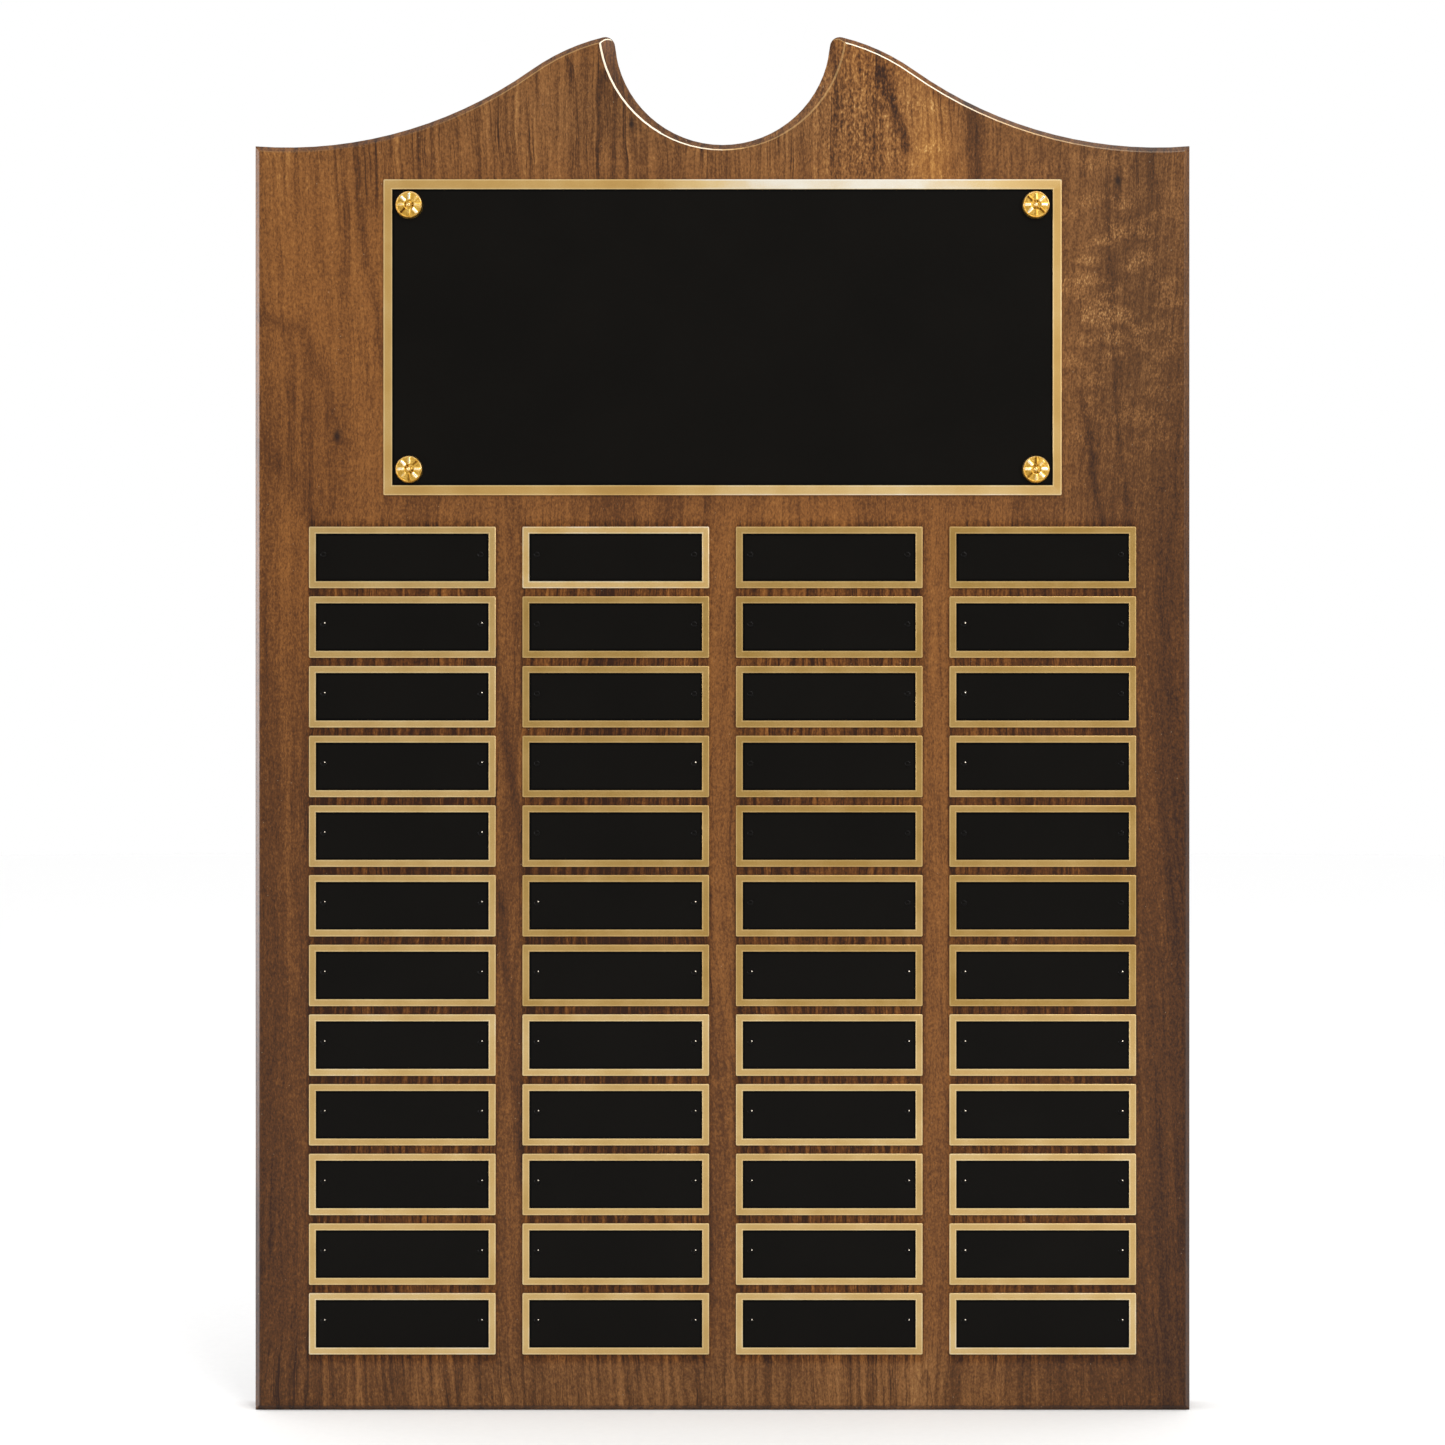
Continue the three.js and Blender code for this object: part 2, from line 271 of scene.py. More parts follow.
def rowShadeShare(wire, across, up):
    # 1 in the strips between the name plates, where shade is painted into the wood
    rows = walnut["rows"]
    pitch = rows["columnPitch"]
    # distance from the nearest column's middle: the gutters lie at whole pitches
    offCentre = wire.math("ABSOLUTE", wire.math("PINGPONG", across, pitch / 2) - pitch / 2)
    offCentre = wire.math("MAXIMUM", offCentre, wire.math("ABSOLUTE", across) - pitch * 1.5)
    inColumn = 1 - offCentre.step(rows["halfWidth"] - rows["fade"], rows["halfWidth"])
    low, high, fade = rows["low"], rows["high"], rows["endFade"]
    inShadedRows = up.step(low, low + fade) - up.step(high - fade, high)
    return inColumn * inShadedRows


def walnutMaterial(footZ):
    material, wire, place = newMaterial("lacqueredWalnut")
    across = wire.node("ShaderNodeSeparateXYZ", None, {0: place}, output=0)
    up = wire.node("ShaderNodeSeparateXYZ", None, {0: place}, output=2) - footZ
    inward = wire.node("ShaderNodeSeparateXYZ", None, {0: place}, output=1)
    onFront = 1 - inward.step(*walnut["frontDepth"])

    # the grain wanders sideways as it climbs, and parts round the knots
    wander = walnut["sway"]
    sway = (wire.noise(place, (120, 120, 330), 1.0) - 0.5) * wander["wide"]
    fine = wire.noise(place, (9, 9, 24), 2.0, 0.6, shift=3.0) - 0.5
    sway = sway + fine * wander["fine"]
    wider, longer = walnut["knotHalo"]
    knotDark = None
    for x, height, radius in walnut["knots"]:
        core = spot(wire, across, up, x, height, radius, radius * 1.5)
        halo = spot(wire, across, up, x, height, radius * wider, radius * longer)
        sway = sway + halo * (across - x) * -walnut["knotPush"]
        knotDark = core if knotDark is None else knotDark + core
    swayed = wire.vector("ADD", place, wire.node("ShaderNodeCombineXYZ", None, {0: sway}))
    flat = wire.node("ShaderNodeCombineXYZ", None, {0: across + fine * wander["strokes"], 1: up})

    # from broad bands down to the pores
    figure = {name: wire.noise(swayed, *values) for name, values in walnut["figure"].items()}
    streaks, grain = figure["streaks"], figure["grain"]
    rings = (across + sway) / walnut["ringSpacing"] + figure["drift"] * walnut["ringDrift"]
    rings = wire.math("POWER", wire.math("FRACT", rings), 5.0)  # each ring ends in a thin dark line
    lines = figure["lines"].step(0.56, 0.74)
    veins = 1 - wire.math("ABSOLUTE", figure["veins"] - 0.5).step(0.0, 0.05)  # soft and few
    pores = figure["pores"].step(0.58, 0.70)
    flock = figure["flock"].step(0.35, 0.65)  # where lines gather
    flecks = grain.step(0.52, 0.70)

    # lined wood in the crest, along the foot and between the plates, quieter wood elsewhere
    masks = {name: spot(wire, across, up, *values) for name, values in walnut["masks"].items()}
    rows, lining = walnut["rows"], walnut["lined"]
    inShadedRows = rowShadeShare(wire, across, up) * onFront
    inFoot = 1 - up.step(*lining["foot"])
    lined = up.step(*lining["crest"]) + inFoot * lining["footShare"] + inShadedRows * rows["rougher"]
    lined = wire.math("MINIMUM", lined * (1 - across.step(*lining["calmRight"]) * 0.5), 1.0)

    # curl, the light ladder that crosses the grain at the right, and the flecked crest
    crest, quiet = masks["crestFlecks"], masks["quiet"]
    curl = figure["curl"].step(0.42, 0.68) * (masks["curl"] + masks["crestCurl"] * 0.5)

    contrast = walnut["contrast"]
    centred = {name: figure[name] - 0.5 for name in contrast}
    # paler towards the top: partly the wood's own tone, partly painted light from above
    tone = walnut["base"] + up * (walnut["rise"] / walnut["height"])
    tone = tone + centred["bands"] * (contrast["bands"] - quiet * 0.24)
    tone = tone + centred["mottle"] * contrast["mottle"]
    tone = tone + centred["streaks"] * (contrast["streaks"] + lined * 0.5 + inShadedRows * 0.5)
    tone = tone - veins * (1 - lined) * flock * 0.07
    tone = tone + centred["grain"] * (contrast["grain"] + curl * 0.4)
    tone = tone + centred["coarse"] * (contrast["coarse"] + crest)
    # the lines are darkened more between the plates, as part of the painted shade there
    tone = tone - lines * (0.03 + flock * 0.08 + lined * flock * 0.16 + inShadedRows * 0.14)
    tone = tone - rings * streaks * (0.08 + lined * (0.06 + flock * 0.3))
    tone = tone + flecks * (curl * 0.16 + crest * 0.08) + curl * 0.16
    cool = walnut["coolness"]
    for x, height, halfWidth, halfLength, lighter, cooler in walnut["patches"]:
        patch = spot(wire, across, up, x, height, halfWidth, halfLength)
        tone = tone + patch * lighter
        cool = cool + patch * cooler
    for points, halfWidth, depth in walnut["strokes"]:
        tone = tone - stroke(wire, flat, points, halfWidth) * depth
    # painted shade in the strips between the plates, deepest around the middle rows
    middle = (up - rows["middle"][0]) / rows["middle"][1]
    middle = wire.math("EXPONENT", middle * middle * -1.0)
    tone = tone - inShadedRows * (rows["darker"] + middle * rows["middleDarker"])
    cool = cool * (1 - inShadedRows)

    # end grain drinks more stain
    normal = wire.node("ShaderNodeTexCoord", output=1)
    upward = wire.math("ABSOLUTE", wire.node("ShaderNodeSeparateXYZ", None, {0: normal}, output=2))
    tone = tone - upward * walnut["endGrain"]
    tint = wire.node("ShaderNodeValToRGB", {"stops": walnut["stops"]}, {0: tone})
    tint = wire.blend(cool, tint, walnut["greyer"], "MULTIPLY")
    tint = wire.blend(pores * (0.08 + flock * (0.1 + lined * 0.2)), tint, walnut["pore"])
    tint = wire.blend(wire.math("MINIMUM", knotDark, 0.85), tint, walnut["knot"])
    dust = wire.noise(place, (0.8, 0.8, 0.9), 0.0, shift=19.0).step(0.83, 0.88)
    tint = wire.blend(dust * 0.35, tint, walnut["dust"])

    # lacquer is buffed bright on the chamfers, and a highlight is painted along the arrises
    polish = wire.node("ShaderNodeAttribute", {"attribute_name": "polish"}, output=2)
    bare = wire.node("ShaderNodeAttribute", {"attribute_name": "bare"}, output=2)
    tint = wire.blend(bare.step(0.0, 0.5) * 0.7, tint, walnut["bareGold"])
    tint = wire.blend(bare.step(0.4, 1.0) * 0.8, tint, walnut["bareWhite"])
    shade(wire, {
        "Base Color": tint,
        "Roughness": 0.5 + (grain - 0.5) * 0.2,
        "Specular IOR Level": 0.12,
        "Normal": bump(wire, grain * 0.5 - pores, 0.03, 0.4),
        "Coat Weight": 0.07 - inShadedRows * 0.05 + polish * 0.9 + bare * 0.5,
        "Coat Roughness": 0.28,
        "Coat IOR": 2.0,
    })
    return material


brasses = {  # from tarnished to bare and pale
    "headerBrass": [
        (0.0, colour(160, 122, 66)),
        (0.4, colour(196, 158, 96)),
        (0.7, colour(219, 190, 135)),
        (1.0, colour(232, 226, 212)),
    ],
    "nameBrass": [
        (0.0, colour(158, 126, 70)),
        (0.4, colour(192, 160, 105)),
        (0.7, colour(214, 188, 137)),
        (1.0, colour(232, 226, 212)),
    ],
}


def brassMaterial(name):
    material, wire, place = newMaterial(name)
    cloud = wire.noise(place, (14, 14, 14), 2.0)
    grains = wire.noise(place, (0.35, 0.35, 0.35), 2.0, 0.7, shift=4.0)
    # tone carries each plate's own tone, the painted highlight lines along its edges and the header's
    # painted reflection
    tone = wire.node("ShaderNodeAttribute", {"attribute_name": "tone"}, output=2)
    share = 0.4 + (cloud - 0.5) * 0.4 + (grains - 0.5) * 0.35 + tone * 0.8
    tint = wire.node("ShaderNodeValToRGB", {"stops": brasses[name]}, {0: share})
    shade(wire, {
        "Base Color": tint,
        "Metallic": 1.0,
        "Roughness": 0.38 + (grains - 0.5) * 0.16,
        "Normal": bump(wire, grains, 0.01, 0.35),
    })
    return material


def enamelMaterial():
    material, wire, place = newMaterial("blackEnamel")
    cloud = wire.noise(place, (30, 30, 30), 2.0)
    peel = wire.noise(place, (0.9, 0.9, 0.9), 2.0, shift=6.0)
    edge = wire.node("ShaderNodeAttribute", {"attribute_name": "line"}, output=2)
    tint = wire.blend(cloud, colour(18, 17, 15.5), colour(22, 20.5, 18.5))
    shade(wire, {
        # painted shade: the mesh's line darkens the enamel along its edge
        "Base Color": wire.blend(edge, tint, (0.0006, 0.0006, 0.0006, 1)),
        "Roughness": 0.3 + (peel - 0.5) * 0.1,
        "Specular IOR Level": 0.05,
        "Normal": bump(wire, peel, 0.004, 0.4),
    })
    return material


def rosetteMaterial():
    material, wire, place = newMaterial("polishedGilt")
    worn = wire.noise(place, (1.6, 1.6, 1.6), 2.0, 0.6)
    stipple = wire.noise(place, (0.28, 0.28, 0.28), 1.0, 0.6, shift=5.0)
    # the painted highlights and shade from the mesh lighten or darken the gilt
    bright = wire.node("ShaderNodeAttribute", {"attribute_name": "bright"}, output=2)
    share = 0.42 + bright * 0.4 + (worn - 0.5) * 0.4 + (stipple - 0.5) * 0.8
    stops = [
        (0.0, colour(78, 48, 22)),
        (0.3, colour(170, 126, 48)),
        (0.55, colour(216, 174, 84)),
        (0.9, colour(252, 242, 214)),
    ]
    shade(wire, {
        "Base Color": wire.node("ShaderNodeValToRGB", {"stops": stops}, {0: share}),
        "Metallic": 1.0,
        "Roughness": 0.42 - wire.math("MAXIMUM", bright, 0.0) * 0.26 + (stipple - 0.5) * 0.2,
        "Normal": bump(wire, stipple, 0.03, 0.5),
    })
    return material


def pinMaterial():
    material, wire, place = newMaterial("blackPinLacquer")
    chips = wire.noise(place, (0.8, 0.8, 0.8), 2.0)
    shade(wire, {
        "Base Color": wire.blend(chips, colour(12, 11, 10), colour(19, 17, 15)),
        "Roughness": 0.12 + (chips - 0.5) * 0.05,
        "Specular IOR Level": 0.08,
        "Normal": bump(wire, chips, 0.004, 0.3),
    })
    return material


# the bright metal facet painted on some pin heads as a glint
def glintMaterial():
    material, wire, place = newMaterial("chippedPinNickel")
    chips = wire.noise(place, (0.3, 0.3, 0.3), 2.0)
    shade(wire, {
        "Base Color": wire.blend(chips, colour(226, 212, 192), colour(246, 236, 220)),
        "Metallic": 1.0,
        "Roughness": 0.4 + (chips - 0.5) * 0.1,
        "Normal": bump(wire, chips, 0.004, 0.3),
    })
    return material


def steelMaterial():
    material, wire, place = newMaterial("zincPlatedSteel")
    inputs = {"Vector": place, "Scale": 0.45}
    spangle = wire.node("ShaderNodeTexVoronoi", {"feature": "F1"}, inputs, output=1)
    brushed = wire.noise(place, (0.25, 0.25, 9), 2.0, shift=3.0)
    tint = wire.blend(0.25, colour(178, 177, 170), spangle, "SOFT_LIGHT")
    tint = wire.blend(brushed, tint, colour(150, 149, 142))
    shade(wire, {
        "Base Color": tint,
        "Metallic": 1.0,
        "Roughness": 0.3 + brushed * 0.16,
        "Normal": bump(wire, brushed, 0.01, 0.3),
    })
    return material


def addPiece(name, bm, materials, slotName, *nodes):
    # a finished bmesh as a piece on the only body, standing for its CAD nodes
    mesh = bpy.data.meshes.new(name)
    bm.to_mesh(mesh)
    bm.free()
    for material in materials:
        mesh.materials.append(material)
    piece = bpy.data.objects.new(name, mesh)
    bpy.context.scene.collection.objects.link(piece)
    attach(piece, "root")
    if nodes:
        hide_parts(*nodes)
    return piece


def roundArrises(bm, edges, width, segments):
    # rounds edges over, and keeps the flat faces beside them flat-shaded
    made = bmesh.ops.bevel(
        bm, geom=list(edges), offset=width, offset_type="OFFSET", affect="EDGES",
        segments=segments, profile=0.5, material=-1, clamp_overlap=False,
    )
    return set(made["faces"])


def smoothShade(bm, rounds, sharpAngle=30):
    for face in bm.faces:
        face.smooth = True
    for edge in bm.edges:
        border = sum(face in rounds for face in edge.link_faces) == 1
        steep = len(edge.link_faces) == 2 and edge.calc_face_angle(0) > math.radians(sharpAngle)
        edge.smooth = not (border or steep)


board = {
    "rimDepth": 2.6,
    "sliver": 0.3,
    "softening": 0.4,
    "segments": 3,
    "sharpAngle": 22,
    "upright": 0.6,  # a chamfer facing sideways by less than this runs along the crest or foot
    "crestAbove": 490,
    "shoulderFrom": 90,
    "chamferFacing": (-0.95, -0.3),  # how far the chamfers face forwards
    "chamferPolish": {"left": 0.36, "right": 0.2, "crest": 0.03, "shoulder": 0.2},
    "worn": {  # where a highlight is painted on the rounded arris
        "turn": 40, "from": 0.4, "to": 0.8, "least": 0.2, "facing": -0.85,
        "above": 508, "fade": 32, "notchHalf": 50,
    },
}


def mergedCopy(node):
    # a CAD node's loose triangles as one skin, with its flat faces whole again
    bm = bmesh.new()
    bm.from_mesh(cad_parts[node].data)
    bmesh.ops.remove_doubles(bm, verts=bm.verts, dist=touching)
    bmesh.ops.dissolve_limit(bm, angle_limit=math.radians(0.1), verts=bm.verts, edges=bm.edges)
    return bm


def chamferSide(normal, centre, height):
    if abs(normal.x) < board["upright"] or height > board["crestAbove"]:
        onShoulder = centre.x > board["shoulderFrom"] * mm and normal.z > 0
        return "shoulder" if onShoulder else "crest"
    return "left" if normal.x < 0 else "right"


def arrisHighlightShare(normal, centre, height):
    # how much highlight is painted on a bit of the rounded arris: most where it faces up and right
    worn = board["worn"]
    if normal.y >= worn["facing"] or height <= worn["above"]:
        return 0
    turn = math.radians(worn["turn"])
    aim = Vector((math.cos(turn), 0, math.sin(turn)))
    toward = Vector((normal.x, 0, normal.z)).normalized().dot(aim)
    share = (toward - worn["from"]) / (worn["to"] - worn["from"])
    share = min(1, max(worn["least"], share))
    inNotch = abs(centre.x) < worn["notchHalf"] * mm
    return share if inNotch else share * min(1, (height - worn["above"]) / worn["fade"])


def makeBoard(material):
    low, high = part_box("walnut_board")
    plateLow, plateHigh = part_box("header_plate")
    bm = mergedCopy("walnut_board")
    # both layers come before any face is collected
    polishLayer = bm.faces.layers.float.new("polish")
    arrisHighlightLayer = bm.faces.layers.float.new("bare")

    def onRim(edge):
        return all(v.co.y < low.y + board["rimDepth"] * mm
                   and not (plateLow.x < v.co.x < plateHigh.x and plateLow.z < v.co.z < plateHigh.z)
                   for v in edge.verts)

    rim = [e for e in bm.edges if onRim(e)]
    bmesh.ops.dissolve_degenerate(bm, dist=board["sliver"] * mm, edges=rim)
    steep = math.radians(board["sharpAngle"])
    rim = [e for e in bm.edges if onRim(e) and e.calc_face_angle(0) > steep]
    rounds = roundArrises(bm, rim, board["softening"] * mm, board["segments"])
    smoothShade(bm, rounds)
    bm.normal_update()
    forward, sideways = board["chamferFacing"]
    for face in bm.faces:
        normal, centre = face.normal, face.calc_center_median()
        height = (centre.z - low.z) / mm
        if forward < normal.y < sideways:
            face[polishLayer] = board["chamferPolish"][chamferSide(normal, centre, height)]
        # a highlight is painted on the rounded arrises, most where they face up and right
        if face in rounds:
            face[arrisHighlightLayer] = arrisHighlightShare(normal, centre, height)
    for v in bm.verts:
        for axis in range(3):
            v.co[axis] = min(high[axis], max(low[axis], v.co[axis]))
    return addPiece("shaped_walnut_board", bm, [material], "walnut", "walnut_board")


plates = {
    "headerBorder": (3.55, 4.0),  # at the sides, at the top and bottom
    "nameBorder": (2.8, 2.8),
    "cornerCut": 0.5,
    "arris": 0.14,
    "edgeLine": 0.42,  # painted highlights: the brighter lines along both edges of the brass
    "edgeFade": 0.15,
    "edgeTone": 0.3,
    "enamelDrop": 0.05,
    "enamelLine": 0.7,
    "cornerAngle": 1.0,  # radians: an edge that turns by more is a corner of the sheet
    "newest": (1, 2),  # row and column of the plate in the header's brass
    "tones": {
        "newest": 0.12, "row12": 0.04, "row12Left": 0.15, "lower": -0.02, "left": -0.05, "upper": -0.36,
    },
    "toneSpread": 0.06,
    "seed": 12,
    "headerTarnish": {  # painted reflection: how much paler the brass is, by x, along its top and its foot
        "top": [(-60, 0), (-38, -0.10), (-14, 0.25), (12, 0.62), (60, 0.76), (100, 0.55), (130, 0.15)],
        "foot": [(-60, -0.05), (-36, -0.22), (-14, 0.10), (60, 0.28), (130, 0.10)],
    },
}

pins = {
    "radius": 1.3, "rise": 0.42, "inset": 6.0, "shank": 0.6, "length": 9.0,
    "turns": 12, "rings": 4, "lift": 1.2,
    "bareTurn": 45, "bareOut": 0.75, "bareReach": 2.0,  # where on its dome the painted glint sits: a bright metal facet
}

rosettes = {
    "ribs": 8,
    "rings": 28,
    "turns": 96,
    "ribWidth": 0.13,
    "ribFrom": 0.36,
    "ribTo": 0.86,
    "ribRise": 0.10,
    "ribEnd": 0.04,
    "rimAt": 0.94,
    "rimWidth": 0.045,
    "rimRise": 0.16,
    "hub": 0.17,
    "hubRise": 0.3,
    "pitAt": 0.27,
    "pitWidth": 0.05,
    "pitDepth": 0.26,
    "middleRise": 0.66,
    "dish": 0.12,
    "edgeRise": 0.1,  # the height of the head's edge, as a share of the whole
    "rubbed": {  # each rib's painted highlight (above 0) or painted shade (below 0), turning from the right
        "top_left": (0.3, 0.2, 0.9, 1.0, 0.4, -0.9, 0.1, 0.95),
        "top_right": (1.0, 1.0, 0.4, -0.7, 1.0, 0.95, 0.0, -0.8),
        "bottom_left": (0.6, -0.6, 0.5, 1.0, 0.7, 0.3, -0.5, 1.0),
        "bottom_right": (0.9, 0.5, -0.6, 0.9, 0.9, -0.5, 0.4, 0.8),
    },
}


def ringIn(bm, face, bySide, byEnd, depth=0.0):
    # insets an upright square face by one width at its sides and another at its ends
    bmesh.ops.inset_individual(
        bm, faces=[face], thickness=bySide * mm, depth=depth * mm, use_even_offset=True,
    )
    centre = face.calc_center_median()
    extra = (byEnd - bySide) * mm
    for v in face.verts:
        v.co.z -= math.copysign(extra, v.co.z - centre.z)


def along(points, x):
    # the value at x on the line through the points
    for (x0, y0), (x1, y1) in zip(points, points[1:]):
        if x0 <= x <= x1:
            return y0 + (y1 - y0) * (x - x0) / (x1 - x0)
    return points[0][1] if x < points[0][0] else points[-1][1]


def paintReflectionOnBrass(bm, layer, paintedReflection, low, high, border):
    # cuts the border across so that the painted reflection can change its tone along it
    top, foot = high.z - border[1] * mm, low.z + border[1] * mm
    cuts = [((x * mm, 0, 0), (1, 0, 0)) for x, tone in paintedReflection["top"]]
    cuts += [((0, 0, top), (0, 0, 1)), ((0, 0, foot), (0, 0, 1))]
    for spotOn, normal in cuts:
        geom = list(bm.verts) + list(bm.edges) + list(bm.faces)
        bmesh.ops.bisect_plane(bm, geom=geom, dist=touching, plane_co=spotOn, plane_no=normal)
    for v in bm.verts:
        if v.co.y < low.y + slack and v.co.z > top + slack * 10:
            v[layer] += along(paintedReflection["top"], v.co.x / mm)
        if v.co.y < low.y + slack and v.co.z < foot - slack * 10:
            v[layer] += along(paintedReflection["foot"], v.co.x / mm)


def makePlate(name, node, border, materials, tone, paintedReflection=None):
    # the border and the sunk enamel come from insets of the square front, before the corners are eased
    low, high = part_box(node)
    bm = bmesh.new()
    bmesh.ops.create_cube(bm, size=1.0)
    bmesh.ops.scale(bm, vec=high - low, verts=bm.verts)
    bmesh.ops.translate(bm, vec=(low + high) / 2, verts=bm.verts)
    layer = bm.verts.layers.float.new("tone")
    lineLayer = bm.verts.layers.float.new("line")
    front = min(bm.faces, key=lambda f: f.calc_center_median().y)
    line, fade, drop = plates["edgeLine"], plates["edgeFade"], plates["enamelDrop"]
    pale = tone + plates["edgeTone"]
    for v in bm.verts:
        v[layer] = pale
    # steps in from the edge: the width at the sides and at the ends, and the brass's tone, paler in the
    # painted highlight lines
    middle = [width - 2 * (line + fade) for width in border]
    steps = [
        (line, line, pale),
        (fade, fade, tone),
        (*middle, tone),
        (fade, fade, pale),
        (line - drop, line - drop, pale),
    ]
    for bySide, byEnd, toneHere in steps:
        ringIn(bm, front, bySide, byEnd)
        for v in front.verts:
            v[layer] = toneHere
    ringIn(bm, front, drop, drop, -drop)
    # painted shade: a dark line round the sunk enamel's edge, next to the brass step
    for width, darkHere in ((0.0, 1.0), (plates["enamelLine"], 1.0), (plates["enamelLine"] / 2, 0.0)):
        if width:
            ringIn(bm, front, width, width)
        for v in front.verts:
            v[lineLayer] = darkHere
    side, end = border[0] * mm - slack, border[1] * mm - slack
    for face in bm.faces:
        centre = face.calc_center_median()
        inside = low.x + side < centre.x < high.x - side and low.z + end < centre.z < high.z - end
        face.material_index = 1 if inside and centre.y < low.y + drop * mm + slack else 0
    if paintedReflection:
        paintReflectionOnBrass(bm, layer, paintedReflection, low, high, border)
    corner = plates["cornerAngle"]
    uprights = [e for e in bm.edges if e.calc_face_angle(0) > corner
                and abs(e.verts[0].co.y - e.verts[1].co.y) > drop * 2 * mm]
    bmesh.ops.bevel(
        bm, geom=uprights, offset=plates["cornerCut"] * mm, offset_type="OFFSET", affect="EDGES",
        segments=3, profile=0.5, material=-1,
    )
    rim = [e for e in bm.edges if e.calc_face_angle(0) > corner
           and all(abs(v.co.y - low.y) < touching for v in e.verts)]
    rounds = roundArrises(bm, rim, plates["arris"] * mm, 2)
    smoothShade(bm, rounds)
    return addPiece(name, bm, materials, "black_enamel", node)


def makePins(name, spots, materials):
    # domed heads on thin shanks, one at each spot: x, the plate's face, z, and whether it has a painted
    # glint
    bm = bmesh.new()
    steps, turns = pins["rings"], pins["turns"]
    arc = [math.pi / 2 * i / steps for i in range(steps + 1)]
    profile = [(pins["shank"], pins["length"]), (pins["shank"], 0.0)]
    profile += [(pins["radius"] * math.cos(t), -pins["rise"] * math.sin(t)) for t in arc]
    for x, faceY, z, glinted in spots:
        verts = [bm.verts.new((x + r * mm, faceY + y * mm, z)) for r, y in profile]
        edges = [bm.edges.new(pair) for pair in zip(verts, verts[1:])]
        bmesh.ops.spin(
            bm, geom=verts + edges, cent=(x, faceY, z), axis=(0, 1, 0), angle=2 * math.pi,
            steps=turns, use_merge=True,
        )
        # a painted glint: one face up and right on the dome turned bright metal
        if glinted:
            turn = math.radians(pins["bareTurn"])
            away, reach = pins["radius"] * pins["bareOut"] * mm, pins["bareReach"] * mm
            glintSpot = Vector((x + math.cos(turn) * away, faceY - mm, z + math.sin(turn) * away))
            faces = {f for v in bm.verts if (v.co - glintSpot).length < reach for f in v.link_faces}
            nearest = min(faces, key=lambda f: (f.calc_center_median() - glintSpot).length)
            nearest.material_index = 1
    bmesh.ops.remove_doubles(bm, verts=bm.verts, dist=touching)
    bmesh.ops.recalc_face_normals(bm, faces=bm.faces)
    smoothShade(bm, set(), 50)
    return addPiece(name, bm, materials, "black_enamel")


def rosetteRise(r, turn, rubbed):
    # how far the head stands out, as a share of its full rise, and how much light and shade is painted
    # on it
    step = 2 * math.pi / rosettes["ribs"]
    beside = abs(r * math.sin((turn + step / 2) % step - step / 2))
    fromEnds = min(r - rosettes["ribFrom"], rosettes["ribTo"] - r) / rosettes["ribEnd"]
    rib = max(0, 1 - beside / rosettes["ribWidth"]) * min(1, max(0, fromEnds))
    rim = math.exp(-((r - rosettes["rimAt"]) / rosettes["rimWidth"]) ** 2)
    hub = math.sqrt(max(0, 1 - (r / rosettes["hub"]) ** 2))
    between = 0.5 - 0.5 * math.cos(rosettes["ribs"] * turn)
    uneven = 0.55 + 0.45 * math.sin(2 * turn + rubbed[0] * 5)
    pit = math.exp(-((r - rosettes["pitAt"]) / rosettes["pitWidth"]) ** 2)
    pit *= (0.35 + 0.65 * between) * uneven
    edge = math.sqrt(max(0, 1 - max(0, (r - rosettes["rimAt"]) / (1 - rosettes["rimAt"])) ** 2))
    rise = rosettes["middleRise"] - rosettes["dish"] * r * r + rosettes["ribRise"] * rib
    rise += rosettes["rimRise"] * rim + rosettes["hubRise"] * hub - rosettes["pitDepth"] * pit
    # painted light: ribs lighter or darker one by one, the rim lighter towards its top and the hub
    # lighter; the pits darker
    bright = rib * 1.7 * rubbed[round(turn / step) % rosettes["ribs"]]
    bright += rim * (0.55 + 0.45 * math.sin(turn)) + hub * 0.6 - pit * 0.9
    return rise * edge, bright


def makeRosette(name, node, material):
    low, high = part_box(node)
    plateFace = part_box("header_plate")[0].y
    centre = Vector(((low.x + high.x) / 2, plateFace, (low.z + high.z) / 2))
    radius, rise = (high.x - low.x) / 2, plateFace - low.y
    bm = bmesh.new()
    layer = bm.verts.layers.float.new("bright")
    rings, turns = rosettes["rings"], rosettes["turns"]
    verts = [bm.verts.new(centre + Vector((radius * i / rings, 0, 0))) for i in range(rings + 1)]
    edges = [bm.edges.new(pair) for pair in zip(verts, verts[1:])]
    bmesh.ops.spin(
        bm, geom=verts + edges, cent=centre, axis=(0, 1, 0), angle=2 * math.pi,
        steps=turns, use_merge=True,
    )
    bmesh.ops.remove_doubles(bm, verts=bm.verts, dist=touching)
    rimEdges = [e for e in bm.edges if e.is_boundary]
    rubbed = rosettes["rubbed"][node.replace("rosette_tack_", "")]
    highest = max(rosetteRise(i / 200, 0, rubbed)[0] for i in range(201))
    edgeRise = rosettes["edgeRise"]
    for v in bm.verts:
        away = v.co - centre
        r = min(1.0, Vector((away.x, away.z)).length / radius)
        share, v[layer] = rosetteRise(r, math.atan2(away.z, away.x), rubbed)
        v.co.y = plateFace - rise * (edgeRise + (1 - edgeRise) * share / highest)
    made = bmesh.ops.extrude_edge_only(bm, edges=rimEdges)
    for part in made["geom"]:
        if isinstance(part, bmesh.types.BMVert):
            part.co.y = plateFace
    bmesh.ops.holes_fill(bm, edges=[e for e in bm.edges if e.is_boundary], sides=0)
    bmesh.ops.recalc_face_normals(bm, faces=bm.faces)
    smoothShade(bm, set(), 40)
    return addPiece(name, bm, [material], "polished_brass", node)


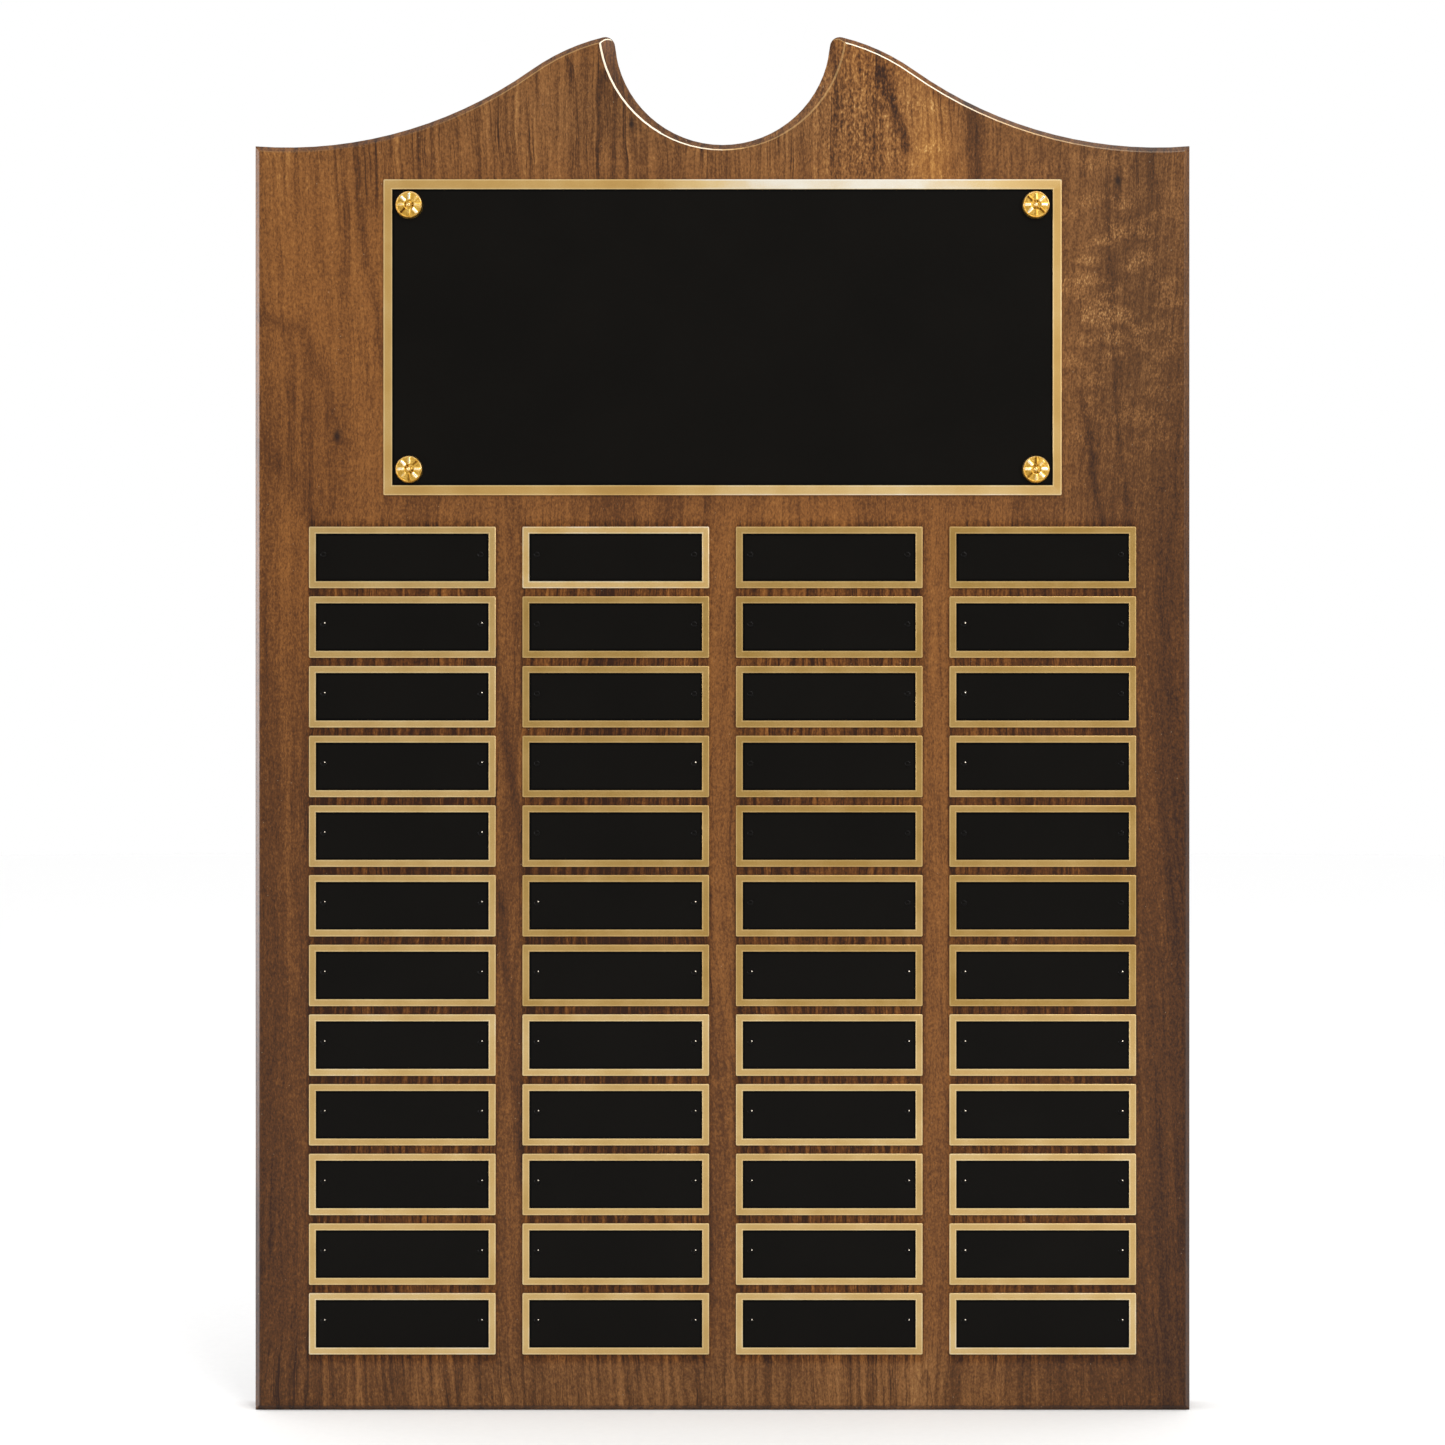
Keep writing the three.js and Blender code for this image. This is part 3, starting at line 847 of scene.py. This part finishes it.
def plateTone(row, column):
    # the foot's rows and the first column are paler, and the other upper plates have browned
    tones, onLeft = plates["tones"], column == 1
    if (row, column) == plates["newest"]:
        return tones["newest"]
    if row == 12:
        return tones["row12Left"] if onLeft else tones["row12"]
    if row > 7:
        return tones["lower"]
    return tones["left"] if onLeft else tones["upper"]


def hasPaintedGlint(row, column, onLeft):
    # whether a pin gets a painted glint, a bright metal facet: most of the lower rows and the first
    # column
    if row > 6 or (column == 1 and row > 1):
        return True
    if column == 2:
        return row == 6 or (row == 4 and not onLeft)
    return column == 4 and 1 < row < 5 and onLeft


print("board")
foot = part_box("walnut_board")[0].z / mm
makeBoard(walnutMaterial(foot))

print("plates")
headerBrass, nameBrass = brassMaterial("headerBrass"), brassMaterial("nameBrass")
enamel, pinBlack, pinGlint = enamelMaterial(), pinMaterial(), glintMaterial()
makePlate("header_engraving_plate", "header_plate", plates["headerBorder"], [headerBrass, enamel], 0.0,
          plates["headerTarnish"])
draw = random.Random(plates["seed"])
columns = {}
for node in sorted(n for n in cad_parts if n.startswith("name_plate_")):
    row, column = int(node[12:14]), int(node[-1])  # name_plate_rNN_cN
    brass = headerBrass if (row, column) == plates["newest"] else nameBrass
    tone = plateTone(row, column) + draw.uniform(-plates["toneSpread"], plates["toneSpread"])
    makePlate(node.replace("name_plate", "engraving_plate"), node, plates["nameBorder"],
              [brass, enamel], tone)
    low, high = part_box(node)
    z = (low.z + high.z) / 2 + pins["lift"] * mm
    for x in (low.x + pins["inset"] * mm, high.x - pins["inset"] * mm):
        glinted = hasPaintedGlint(row, column, x < (low.x + high.x) / 2)
        columns.setdefault(column, []).append((x, low.y, z, glinted))

print("pins")
for column, spots in sorted(columns.items()):
    makePins("plate_pins_column_%d" % column, spots, [pinBlack, pinGlint])

print("rosettes")
gilt = rosetteMaterial()
for node in sorted(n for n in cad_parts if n.startswith("rosette_tack_")):
    makeRosette(node.replace("tack", "head"), node, gilt)

print("hangers")
steel = steelMaterial()
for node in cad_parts:
    if node.startswith("hanger"):
        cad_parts[node].data.materials.clear()
        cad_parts[node].data.materials.append(steel)


studio = {
    "lens": 85.0,
    "viewWidth": 0.5885,
    "centreZ": 0.0003,
    "lights": [  # name, place, size, watts, colour
        ("keySoftboxRight", (1.44, -1.58, 0.52), 0.6, 12, (1.0, 0.97, 0.93)),
        ("keySoftboxHigh", (0.57, -1.58, 1.42), 0.6, 12, (1.0, 0.97, 0.93)),
        ("leftSoftbox", (-1.9, -0.15, 0.0), 0.9, 24, (0.97, 0.98, 1.0)),
    ],
    "ambientLow": 0.48,
    "ambientHigh": 1.3,
    "overhead": (-0.1, 0.9),  # the light's upward part, from level to overhead
    "floorRadius": 6.0,
}


def makeCamera(faceY, centreZ):
    camera = bpy.data.cameras.new("plaqueCamera")
    camera.lens = studio["lens"]
    distance = studio["lens"] / camera.sensor_width * studio["viewWidth"]
    holder = bpy.data.objects.new("plaqueCamera", camera)
    bpy.context.scene.collection.objects.link(holder)
    holder.location = (0, faceY - distance, centreZ)
    holder.rotation_euler = (math.pi / 2, 0, 0)
    bpy.context.scene.camera = holder


def makeLight(name, place, size, watts, tint):
    light = bpy.data.lights.new(name, "AREA")
    light.size = size
    light.energy = watts
    light.color = tint
    holder = bpy.data.objects.new(name, light)
    bpy.context.scene.collection.objects.link(holder)
    holder.location = place
    holder.rotation_euler = (-Vector(place)).to_track_quat("-Z", "Y").to_euler()


def makeWorld():
    # brighter overhead, and plain white where the camera looks past the plaque
    world = bpy.data.worlds.new("paleStudio")
    bpy.context.scene.world = world
    world.use_nodes = True
    world.node_tree.nodes.clear()
    wire = Wire(world.node_tree)
    aim = wire.node("ShaderNodeTexCoord", output=0)
    overhead = wire.node("ShaderNodeSeparateXYZ", None, {0: aim}, output=2)
    overhead = overhead.step(*studio["overhead"])
    strength = studio["ambientLow"] + overhead * (studio["ambientHigh"] - studio["ambientLow"])
    seen = wire.node("ShaderNodeLightPath")  # its first output: whether the camera looks
    strength = strength + seen * (1.0 - strength)
    light = wire.node("ShaderNodeBackground", None, {"Color": (1, 1, 1, 1), "Strength": strength})
    wire.node("ShaderNodeOutputWorld", None, {"Surface": light})


def makeFloor(z):
    bm = bmesh.new()
    bmesh.ops.create_circle(bm, cap_ends=True, radius=studio["floorRadius"], segments=96)
    bmesh.ops.translate(bm, vec=(0, 0, z), verts=bm.verts)
    mesh = bpy.data.meshes.new("paleFloor")
    bm.to_mesh(mesh)
    bm.free()
    material, wire, place = newMaterial("paleFloorPaper")
    fibre = wire.noise(place, (3, 3, 3), 2.0)
    shade(wire, {
        "Base Color": wire.blend(fibre, (0.86, 0.86, 0.86, 1), (0.9, 0.9, 0.9, 1)),
        "Roughness": 0.8,
    })
    mesh.materials.append(material)
    floor = bpy.data.objects.new("paleFloor", mesh)
    bpy.context.scene.collection.objects.link(floor)


print("stage")
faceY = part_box("walnut_board")[0].y
makeCamera(faceY, studio["centreZ"])
for values in studio["lights"]:
    makeLight(*values)
makeWorld()
makeFloor(cadLow.z)
bpy.context.scene.view_settings.view_transform = "Standard"
